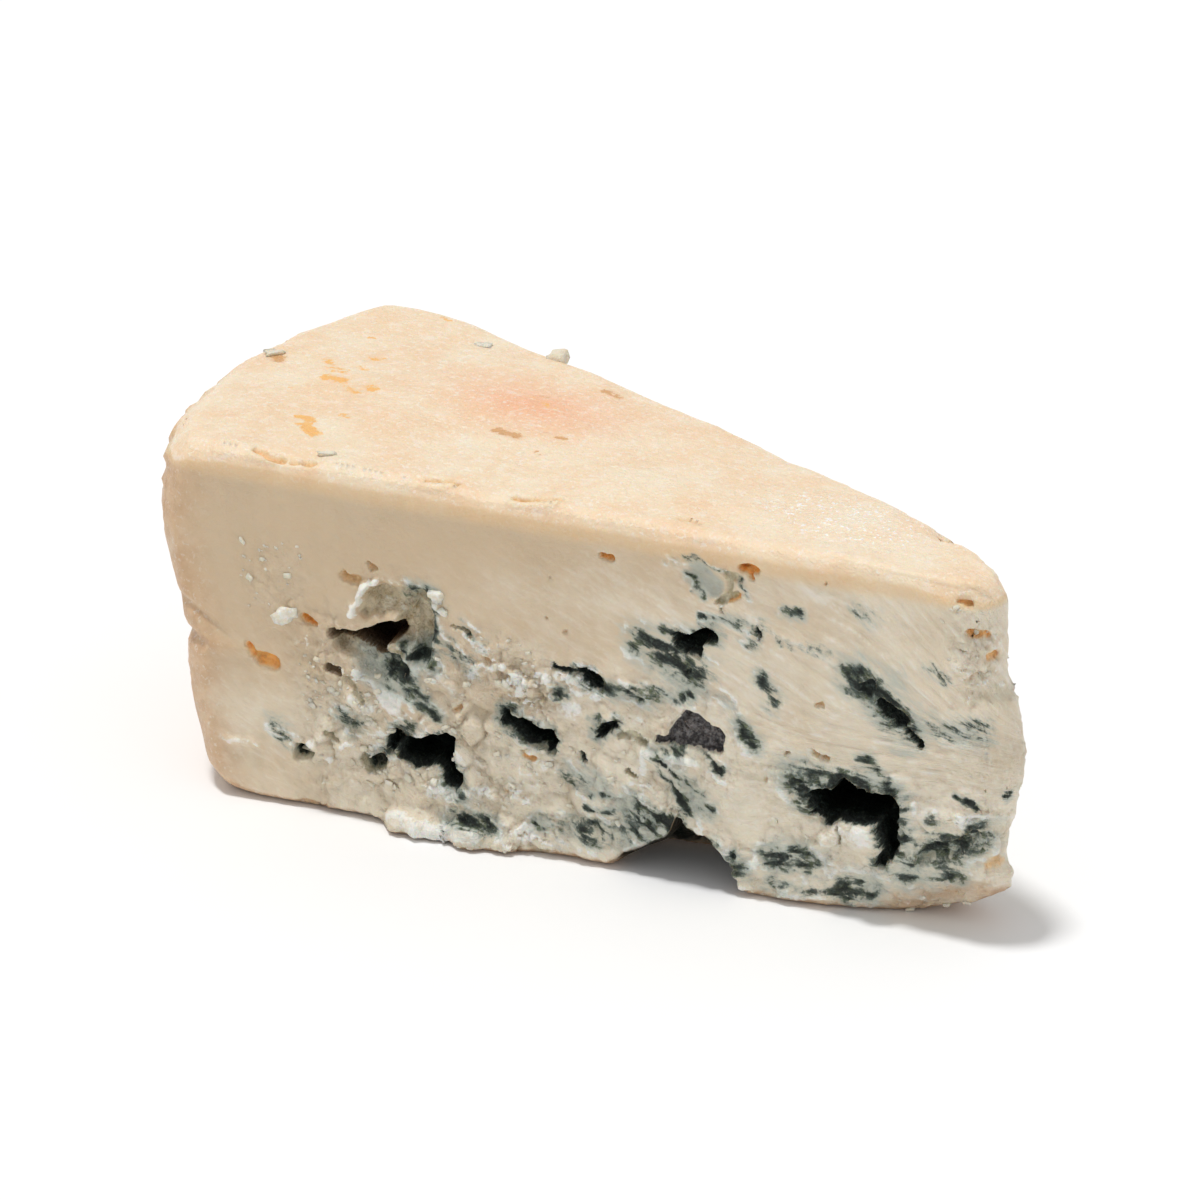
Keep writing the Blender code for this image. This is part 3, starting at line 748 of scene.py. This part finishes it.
def sliced_block():
    """The unit block, sliced into strips, with its front cut twice as fine."""
    block = bmesh.new()
    bmesh.ops.create_cube(block, size=1)
    bmesh.ops.translate(block, vec=(0.5, 0.5, 0.5), verts=block.verts)
    for axis, strips in enumerate(STRIPS):
        along = [edge for edge in block.edges if abs(edge.verts[0].co[axis] - edge.verts[1].co[axis]) > 0.5]
        bmesh.ops.subdivide_edges(block, edges=along, cuts=strips - 1, use_grid_fill=True)
    cut = [face for face in block.faces if all(corner.co.y < 1e-5 for corner in face.verts)]
    edges = list(dict.fromkeys(edge for face in cut for edge in face.edges))
    bmesh.ops.subdivide_edges(block, edges=edges, cuts=1, use_grid_fill=True)
    return block


def refine_block(block, layer):
    """Splits the edges that the relief has stretched or folded."""
    split = []
    for edge in block.edges:
        length = edge.calc_length()
        if length < SHORTEST_SPLIT:
            continue
        share = edge.verts[0][layer]
        seen = share.y < 0.02 or share.x > 0.99 or share.z > 0.985
        limit = LONGEST_EDGE * (1 if seen else HIDDEN_COARSENESS)
        if length > limit or (seen and edge.calc_face_angle(0) > SHARPEST_FOLD):
            split.append(edge)
    bmesh.ops.subdivide_edges(block, edges=split, cuts=1, use_grid_fill=True)


def new_object(name, data):
    made = bpy.data.objects.new(name, data)
    bpy.context.scene.collection.objects.link(made)
    return made


def finished_piece(block, name, material, paints):
    """Turns a block into an object of the scene, with its material and its paints as attributes."""
    mesh = bpy.data.meshes.new(name)
    block.to_mesh(mesh)
    block.free()
    for label, values in paints.items():
        painted = mesh.attributes.new(label, "FLOAT", "POINT")
        painted.data.foreach_set("value", np.asarray(values, dtype=np.float32))
    mesh.materials.append(material)
    mesh.shade_smooth()
    return new_object(name, mesh)


def build_wedge(material):
    block = sliced_block()
    layer = block.verts.layers.float_vector.new("share")
    for vertex in block.verts:
        vertex[layer] = vertex.co
    paints = place_block(block, layer)
    for _ in range(REFINING_ROUNDS):
        refine_block(block, layer)
        paints = place_block(block, layer)
    write_positions(block, [vertex.co * MM for vertex in block.verts])
    block.verts.layers.float_vector.remove(layer)
    odd = [face for face in block.faces if len(face.verts) > 4]
    bmesh.ops.triangulate(block, faces=odd)
    bmesh.ops.recalc_face_normals(block, faces=block.faces)
    return finished_piece(block, "torn_wedge", material, paints)


def flake(heap, place, size, turn, tilt, seed):
    """A torn crumb of cheese with blunt, uneven corners."""
    made = bmesh.ops.create_icosphere(heap, subdivisions=2, radius=0.5)["verts"]
    spread = Matrix.Translation(place) @ tilt @ Matrix.Rotation(turn, 4, "Z") @ Matrix.Diagonal((*size, 1))
    round_shape = np.array([vertex.co for vertex in made])
    square = np.sign(round_shape) * np.abs(round_shape) ** 0.62
    uneven = 0.9 + 0.55 * noise(round_shape + seed * 7.3, 0.5, seed)
    uneven += 0.35 * noise(round_shape + seed * 3.1, 0.25, seed)
    for vertex, co in zip(made, square * uneven[:, None]):
        vertex.co = spread @ Vector(co)


def flake_tilt(normal):
    """Turns a flake's broad side outwards, with its length along the cut."""
    length = Vector((*ALONG, 0))
    width = normal.cross(length).normalized()
    return Matrix((width.cross(normal), width, normal)).transposed().to_4x4()


def front_crumbs(draw):
    """The flakes of the front cut, then the small crumbs strewn over each cluster."""
    wanted = list(FLAKES)
    for low_across, low_up, high_across, high_up, count in CLUSTERS:
        for _ in range(count):
            length = 0.35 + 0.9 * draw.random() ** 3
            spot = (draw.uniform(low_across, high_across), draw.uniform(low_up, high_up))
            width = length * draw.uniform(0.4, 0.8)
            wanted.append((*spot, length, width, length * 0.5, draw.uniform(-50, 30)))
    return wanted


def front_tree(spots, normals):
    """Finds the point of the front cut that is nearest to a place along it and up."""
    across, up = front_places(spots)
    seen = np.flatnonzero(normals @ np.array((*OUTWARD, 0)) > 0.45)
    tree = mathutils.kdtree.KDTree(len(seen))
    for index in seen:
        tree.insert((across[index], up[index], 0), index)
    tree.balance()
    return tree


def stronger_paint(mesh, *names):
    """The stronger of two paints at each point of a mesh."""
    paints = np.zeros((len(names), len(mesh.vertices)))
    for name, values in zip(names, paints):
        mesh.attributes[name].data.foreach_get("value", values)
    return paints.max(axis=0)


def strew_front(heap, surface, spots, normals):
    """Puts flakes and crumbs on the front cut. Returns how pale each is."""
    draw = random.Random(SEED)
    wanted = front_crumbs(draw)
    tree = front_tree(spots, normals)
    taken = stronger_paint(surface, "hollow", "mould")
    paleness = []
    for number, (along, height, length, width, thickness, turn) in enumerate(wanted):
        is_flake = number < len(FLAKES)
        index = tree.find((along, height, 0))[1]
        if taken[index] > CRUMB_LIMIT and not is_flake:
            continue
        normal = Vector(normals[index])
        place = Vector(spots[index]) + normal * thickness * (0.25 if is_flake else 0.05)
        flake(heap, place, (length, width, thickness), math.radians(turn), flake_tilt(normal), number)
        paleness.append(FLAKE_PALENESS if is_flake else draw.uniform(*CRUMB_PALENESS))
    return paleness


def strew_rind(heap, spots, normals):
    """Puts flakes on what faces up. Returns how pale each is."""
    top = np.flatnonzero(normals[:, 2] > 0.5)
    for number, (x, y, *size, turn) in enumerate(RIND_FLAKES):
        gap = np.hypot(spots[top, 0] - x, spots[top, 1] - y)
        place = Vector(spots[top[np.argmin(gap)]]) + Vector((0, 0, size[2] * 0.15))
        flake(heap, place, size, math.radians(turn), Matrix.Identity(4), RIND_FLAKE_SEED + number)
    return [RIND_FLAKE_PALENESS] * len(RIND_FLAKES)


def add_crumbs(wedge, material):
    """Loose flakes and crumbs that cling to the cut face and the rind."""
    surface = wedge.data
    spots = np.array([vertex.co for vertex in surface.vertices]) / MM
    normals = np.array([vertex.normal for vertex in surface.vertices])
    heap = bmesh.new()
    paleness = strew_front(heap, surface, spots, normals) + strew_rind(heap, spots, normals)
    for vertex in heap.verts:
        vertex.co.z = max(vertex.co.z, 0)
    bmesh.ops.scale(heap, vec=(MM, MM, MM), verts=heap.verts)
    corners = len(heap.verts) // len(paleness)
    paints = {"pale": np.repeat(paleness, corners)}
    for name, value in (("paste_tone_and_light", 0.8), ("rough", 0.5)):
        paints[name] = np.full(len(heap.verts), value)
    return finished_piece(heap, "crumbs", material, paints)


# A mix node keeps its factor and colours at these places, after those of its other kinds
COLOUR_MIX_INPUTS = (0, 6, 7)
COLOUR_MIX_RESULT = 2


class Nodes:
    """Short calls for laying out a material's or a group's nodes."""

    def __init__(self, tree):
        self.tree = tree

    def add(self, kind, **settings):
        node = self.tree.nodes.new("ShaderNode" + kind)
        for name, value in settings.items():
            setattr(node, name, value)
        return node

    def feed(self, socket, source):
        if isinstance(source, bpy.types.NodeSocket):
            self.tree.links.new(source, socket)
        elif socket.type == "RGBA":
            socket.default_value = (*source, 1)
        else:
            socket.default_value = source

    def math(self, operation, *values, clamp=False):
        node = self.add("Math", operation=operation, use_clamp=clamp)
        for socket, value in zip(node.inputs, values):
            self.feed(socket, value)
        return node.outputs[0]

    def times(self, first, second):
        return self.math("MULTIPLY", first, second)

    def plus(self, first, second):
        return self.math("ADD", first, second)

    def minus(self, first, second):
        return self.math("SUBTRACT", first, second)

    def blend(self, share, low, high):
        node = self.add("Mix", data_type="RGBA", clamp_factor=True)
        for number, source in zip(COLOUR_MIX_INPUTS, (share, low, high)):
            self.feed(node.inputs[number], source)
        return node.outputs[COLOUR_MIX_RESULT]

    def layered(self, colour, *layers):
        """Lays tones over a colour in turn. Each layer is a mask, the share it counts for, and a tone."""
        for mask, share, tone in layers:
            colour = self.blend(self.times(mask, share), colour, tone)
        return colour

    def step(self, value, start, end, low=0.0, high=1.0):
        node = self.add("MapRange", interpolation_type="SMOOTHSTEP")
        for name, source in (("Value", value), ("From Min", start), ("From Max", end),
                             ("To Min", low), ("To Max", high)):
            self.feed(node.inputs[name], source)
        return node.outputs["Result"]

    def noise(self, place, scale, detail=3.0, roughness=0.55, distortion=0.0):
        node = self.add("TexNoise")
        for name, source in (("Vector", place), ("Scale", scale), ("Detail", detail),
                             ("Roughness", roughness), ("Distortion", distortion)):
            self.feed(node.inputs[name], source)
        return node.outputs["Fac"]

    def paint(self, name):
        return self.add("Attribute", attribute_name=name).outputs["Fac"]

    def place(self):
        return self.add("TexCoord").outputs["Object"]

    def dragged(self, pull):
        """Places along the knife's smears, drawn out more the smaller the pull."""
        lines = self.add("CombineXYZ")
        self.feed(lines.inputs[0], self.paint("line"))
        self.feed(lines.inputs[1], self.times(self.paint("run"), pull))
        return lines.outputs[0]

    def group(self, tree, **values):
        node = self.add("Group")
        node.node_tree = tree
        for name, value in values.items():
            self.feed(node.inputs[name.replace("_", " ")], value)
        return node.outputs


def new_group(name, inputs, outputs):
    tree = bpy.data.node_groups.new(name, "ShaderNodeTree")
    for label, value in inputs:
        socket = tree.interface.new_socket(name=label, in_out="INPUT", socket_type="NodeSocketFloat")
        socket.default_value = value
    for label in outputs:
        tree.interface.new_socket(name=label, in_out="OUTPUT", socket_type="NodeSocketFloat")
    nodes = Nodes(tree)
    entry = tree.nodes.new("NodeGroupInput").outputs
    leave = tree.nodes.new("NodeGroupOutput").inputs
    return tree, nodes, entry, leave


def fleck_group():
    """Turns a soft field into frayed flecks: solid where it is strong, specks where it is weak."""
    tree, nodes, entry, leave = new_group(
        "frayed_flecks",
        (("Grain", 0.5), ("Field", 0.0), ("Fraying", 1.0)), ("Core", "Mask", "Halo"))
    swing = nodes.times(nodes.minus(entry["Grain"], 0.5), entry["Fraying"])
    present = nodes.step(entry["Field"], 0.02, 0.25)
    level = nodes.times(nodes.plus(entry["Field"], swing), present)
    for name, start, end in (("Core", 0.56, 0.82), ("Mask", 0.34, 0.62), ("Halo", 0.05, 0.60)):
        nodes.feed(leave[name], nodes.step(level, start, end))
    return tree


def principled(name):
    material = bpy.data.materials.new(name)
    material.use_nodes = True
    nodes = Nodes(material.node_tree)
    return material, nodes, material.node_tree.nodes["Principled BSDF"].inputs


Fields = collections.namedtuple("Fields", "place blotch middle fine grain feathers fuzz")


def cheese_fields(nodes):
    """The noises that the cheese's colour, gloss and relief share."""
    place = nodes.place()
    middle = nodes.noise(place, 420, 4, 0.62)
    fine = nodes.noise(place, 1250, 4, 0.68)
    return Fields(
        place=place, blotch=nodes.noise(place, 95, 4, 0.6), middle=middle, fine=fine,
        grain=nodes.plus(nodes.times(middle, 0.45), nodes.times(fine, 0.55)),
        feathers=nodes.noise(nodes.dragged(0.4), 0.75, 5, 0.66, 0.5), fuzz=nodes.noise(place, 1300, 3, 0.7))


def paste_colour(nodes, fields, flecks):
    """Yellow to ivory paste, whose tone is partly painted light, feathered by the knife, with painted shade
    in the seams and white curd, partly painted highlight.
    """
    # Darker to lighter paste by its tone paint, which is partly painted light.
    paste_tone_and_light = nodes.plus(nodes.paint("paste_tone_and_light"), nodes.times(nodes.minus(fields.blotch, 0.5), 1.1))
    paste = nodes.blend(nodes.step(paste_tone_and_light, 0, 1), (0.65, 0.50, 0.33), (0.83, 0.745, 0.59))
    paler = nodes.times(nodes.step(fields.feathers, 0.49, 0.64), nodes.paint("paste_tone_and_light"))
    white = nodes.group(flecks, Grain=fields.fine, Field=nodes.paint("pale"), Fraying=1.0)
    return nodes.layered(
        paste,
        (nodes.step(fields.feathers, 0.45, 0.33), 0.30, (0.60, 0.50, 0.36)),
        (paler, 0.60, (0.86, 0.80, 0.68)),
        # Painted shade in the seams.
        (nodes.paint("crease"), 0.55, (0.47, 0.37, 0.235)),
        # White curd; on the raised lumps partly painted highlight.
        (white["Halo"], 0.40, (0.88, 0.85, 0.76)),
        (white["Mask"], 0.80, (0.92, 0.915, 0.86)),
        (nodes.paint("smear"), 0.40, (0.93, 0.92, 0.87)))


def heel_colour(nodes, fields):
    """The dry orange rind of the heel, with a pale bloom."""
    orange = nodes.blend(nodes.step(fields.middle, 0.35, 0.65), (0.54, 0.305, 0.145), (0.67, 0.44, 0.255))
    return nodes.layered(
        orange,
        (nodes.step(fields.blotch, 0.48, 0.64), 0.5, (0.80, 0.66, 0.49)),
        (nodes.step(fields.fine, 0.56, 0.66), 0.6, (0.80, 0.77, 0.72)))


def rind_colour(nodes, fields, flecks, wet):
    """The peach rind on top: its blush and grain, the moist patch with white flecks painted as its
    highlights, and the marks.
    """
    peach = nodes.blend(nodes.step(fields.blotch, 0.34, 0.68), (0.865, 0.635, 0.415), (0.88, 0.735, 0.535))
    painted_glints = nodes.times(nodes.step(fields.fuzz, 0.575, 0.625), nodes.step(wet, 0.2, 0.7))
    orange, brown = (nodes.group(flecks, Grain=fields.grain, Field=nodes.paint(name), Fraying=2.6)
                     for name in ("orange", "brown"))
    return nodes.layered(
        peach,
        (nodes.paint("blush"), 0.8, (0.90, 0.45, 0.25)),
        (nodes.step(fields.middle, 0.54, 0.68), 0.45, (0.91, 0.84, 0.74)),
        (nodes.step(fields.grain, 0.56, 0.64), 0.45, (0.80, 0.52, 0.30)),
        (nodes.step(fields.fine, 0.54, 0.64), 0.45, (0.96, 0.92, 0.85)),
        (wet, 0.45, (0.93, 0.80, 0.62)),
        # Painted highlights: white flecks scattered over the moist patch.
        (painted_glints, 1, (1, 1, 0.98)),
        (orange["Mask"], 0.85, (0.90, 0.46, 0.10)),
        (brown["Halo"], 0.30, (0.75, 0.42, 0.20)),
        (brown["Mask"], 0.75, (0.62, 0.30, 0.09)))


def pocket_layers(nodes, fields, amber):
    """The floors of the amber and olive pockets."""
    amber_tone = nodes.blend(nodes.step(amber, 0.3, 1), (0.84, 0.60, 0.33), (0.92, 0.42, 0.085))
    amber_tone = nodes.layered(amber_tone, (nodes.step(fields.middle, 0.50, 0.60), 0.5, (0.50, 0.24, 0.06)))
    olive_tone = nodes.blend(nodes.step(fields.middle, 0.36, 0.62), (0.34, 0.30, 0.16), (0.68, 0.635, 0.46))
    return (nodes.step(amber, 0.05, 0.5), 0.9, amber_tone), (nodes.paint("olive"), 0.75, olive_tone)


def mould_layers(nodes, fields, flecks, mould):
    """Blue-grey haze, then the mould from its soft edge to its black middle."""
    haze = nodes.group(flecks, Grain=fields.feathers, Field=nodes.paint("haze"), Fraying=1.0)
    green = nodes.blend(nodes.step(fields.middle, 0.42, 0.60), (0.12, 0.155, 0.135), (0.145, 0.175, 0.085))
    green = nodes.blend(nodes.step(fields.fine, 0.62, 0.42), green, (0.018, 0.030, 0.020))
    black = nodes.blend(nodes.step(fields.fine, 0.52, 0.70), (0.006, 0.010, 0.008), (0.06, 0.085, 0.07))
    return ((haze["Halo"], 0.72, (0.43, 0.48, 0.43)), (mould["Halo"], 0.60, (0.28, 0.34, 0.29)),
            (mould["Mask"], 0.92, green), (mould["Core"], 0.92, black))


def depth_layers(nodes, fields, fur):
    """The furry grey mould, brown shade, and painted shade: near black inside the deep pockets and under the
    torn arch.
    """
    umber = nodes.paint("umber")
    fur_tone = nodes.blend(nodes.step(fields.fine, 0.40, 0.64), (0.055, 0.049, 0.049), (0.25, 0.235, 0.23))
    # The painted shade, browner where the slot is.
    inside = nodes.blend(umber, (0.006, 0.008, 0.006), (0.022, 0.012, 0.007))
    return ((nodes.step(fur, 0.35, 0.6), 1, fur_tone), (umber, 0.85, (0.20, 0.12, 0.055)),
            (nodes.paint("hollow"), 0.97, inside))


def cheese_roughness(nodes, fields, dull, glossy):
    rough = nodes.step(fields.middle, 0.3, 0.7, 0.34, 0.50)
    for mask, share in glossy:
        rough = nodes.minus(rough, nodes.times(mask, share))
    return nodes.math("ADD", rough, nodes.times(dull, 0.35), clamp=True)


def cheese_relief(nodes, fields, dull, torn):
    """Relief too fine for the mesh, in metres: fuzz, knife scratches and clods."""
    scratches = nodes.times(nodes.noise(nodes.dragged(0.07), 1.9, 2, 0.6), 0.00028)
    scratches = nodes.times(scratches, nodes.paint("paste_tone_and_light"))
    fuzziness = nodes.plus(nodes.times(dull, 0.00035), nodes.plus(nodes.times(torn, 0.00055), 0.00022))
    clods = nodes.times(nodes.noise(fields.place, 520, 2, 0.5), nodes.times(torn, 0.0012))
    relief = nodes.add("Bump")
    height = nodes.plus(nodes.times(fields.fuzz, fuzziness), nodes.plus(scratches, clods))
    for name, source in (("Strength", 0.9), ("Distance", 1), ("Height", height)):
        nodes.feed(relief.inputs[name], source)
    return relief.outputs["Normal"]


def cheese_material(flecks):
    material, nodes, shader = principled("cheese_paste_and_rind")
    fields = cheese_fields(nodes)
    wet, amber, fur, torn, rind = map(nodes.paint, ("wet", "amber", "fur", "rough", "rind"))
    shreds = nodes.plus(nodes.times(fields.feathers, 0.6), nodes.times(fields.fine, 0.4))
    mould = nodes.group(flecks, Grain=shreds, Field=nodes.paint("mould"), Fraying=2.4)
    under_edge = nodes.times(nodes.step(rind, 0.10, 0.60), nodes.step(rind, 1, 0.80))
    colour = nodes.layered(
        paste_colour(nodes, fields, flecks),
        (nodes.paint("heel"), 0.88, heel_colour(nodes, fields)),
        (nodes.step(rind, 0.10, 0.95), 1, rind_colour(nodes, fields, flecks, wet)),
        (under_edge, 0.50, (0.74, 0.50, 0.245)),
        *pocket_layers(nodes, fields, amber),
        *mould_layers(nodes, fields, flecks, mould),
        *depth_layers(nodes, fields, fur))
    dull = nodes.math("MAXIMUM", mould["Mask"], fur)
    nodes.feed(shader["Base Color"], colour)
    glossy = ((torn, 0.10), (wet, 0.18), (amber, 0.12))
    nodes.feed(shader["Roughness"], cheese_roughness(nodes, fields, dull, glossy))
    # The painted shade also dims the reflection in the pockets and under the arch.
    nodes.feed(shader["Specular IOR Level"], nodes.step(nodes.paint("hollow"), 0, 0.7, 0.5, 0.03))
    nodes.feed(shader["Normal"], cheese_relief(nodes, fields, dull, torn))
    for name, value in (("Subsurface Weight", 0.3), ("Subsurface Radius", (1.0, 0.55, 0.28)),
                        ("Subsurface Scale", 0.0025), ("IOR", 1.45)):
        shader[name].default_value = value
    return material


def floor_material():
    material, nodes, shader = principled("pale_floor")
    for name, value in (("Base Color", (0.93, 0.93, 0.93)), ("Roughness", 0.6), ("Specular IOR Level", 0.2)):
        nodes.feed(shader[name], value)
    return material


def add_floor():
    sheet = bmesh.new()
    bmesh.ops.create_grid(sheet, x_segments=1, y_segments=1, size=4)
    mesh = bpy.data.meshes.new("floor")
    sheet.to_mesh(mesh)
    sheet.free()
    mesh.materials.append(floor_material())
    floor = new_object("floor", mesh)


def add_sun(name, direction, strength, softness):
    light = bpy.data.lights.new(name, "SUN")
    light.energy = strength
    light.angle = softness
    lamp = new_object(name, light)
    lamp.location = -Vector(direction)
    lamp.rotation_euler = Vector(direction).to_track_quat("-Z", "Y").to_euler()


# Soft light from all round, and a broad one from above
SKY_STRENGTH = 0.58
SUN_DIRECTION = (0.16, 0.10, -1)
SUN_STRENGTH = 1.8
SUN_WIDTH = math.radians(8)


def add_lights():
    world = bpy.data.worlds.new("studio")
    world.use_nodes = True
    sky = world.node_tree.nodes["Background"].inputs
    sky["Color"].default_value = (1.0, 1.0, 1.0, 1)
    sky["Strength"].default_value = SKY_STRENGTH
    bpy.context.scene.world = world
    add_sun("overhead", SUN_DIRECTION, SUN_STRENGTH, SUN_WIDTH)


# The camera of the photograph
CAMERA_AZIMUTH = math.radians(36.5)
CAMERA_ELEVATION = math.radians(24.0)
CAMERA_DISTANCE = 1.0
CAMERA_TARGET = Vector((-0.00834, 0.00826, 0.030))
SENSOR_WIDTH = 36.0
FOCAL_LENGTH = 189.0


def add_camera():
    camera = bpy.data.cameras.new("photo_view")
    camera.sensor_width = SENSOR_WIDTH
    camera.lens = FOCAL_LENGTH
    camera.clip_start = 0.01
    holder = new_object("photo_view", camera)
    back = Vector((math.sin(CAMERA_AZIMUTH) * math.cos(CAMERA_ELEVATION),
                   -math.cos(CAMERA_AZIMUTH) * math.cos(CAMERA_ELEVATION), math.sin(CAMERA_ELEVATION)))
    holder.location = CAMERA_TARGET + back * CAMERA_DISTANCE
    holder.rotation_euler = (-back).to_track_quat("-Z", "Y").to_euler()
    bpy.context.scene.camera = holder


def main():
    material = cheese_material(fleck_group())
    wedge = build_wedge(material)
    crumbs = add_crumbs(wedge, material)
    for piece in (wedge, crumbs):
        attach(piece, "root")
    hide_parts("blue_cheese_wedge")
    add_floor()
    add_lights()
    add_camera()
    bpy.context.scene.view_settings.view_transform = "Standard"


main()
